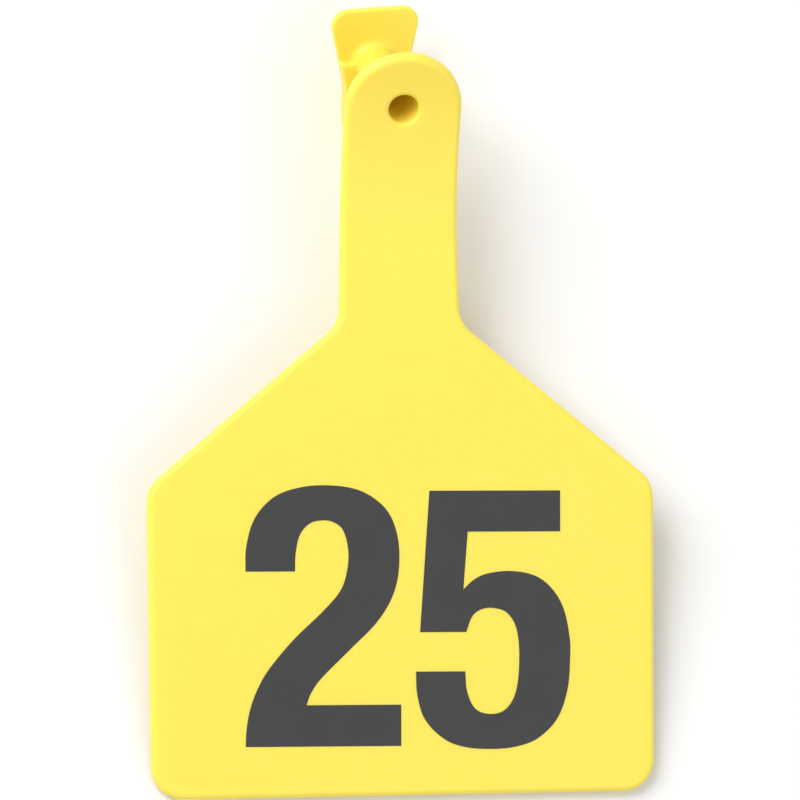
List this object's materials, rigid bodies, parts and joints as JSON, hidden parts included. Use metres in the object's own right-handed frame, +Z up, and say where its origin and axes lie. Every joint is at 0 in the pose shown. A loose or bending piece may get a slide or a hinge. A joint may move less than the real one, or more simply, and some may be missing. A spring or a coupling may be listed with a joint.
{
  "type": "livestock ear tag",
  "caption": "Livestock ear tag: a sloped-shoulder number panel on a long neck, with a short rear stem and a T-shaped retaining bar that holds the tag in a pierced ear.",
  "frame": {"origin": "on the ground under the middle of the tag as it lies on its back", "axes": "+X to the right across the panel, +Y from the panel's foot towards the end of the neck, +Z up, out of the numbered face"},
  "size_m": [0.0762, 0.1166, 0.0275],
  "materials": {
    "tag": "satin soft polyurethane"
  },
  "bodies": {
    "root": {"ear_tag": "tag"}
  },
  "joints": []
}
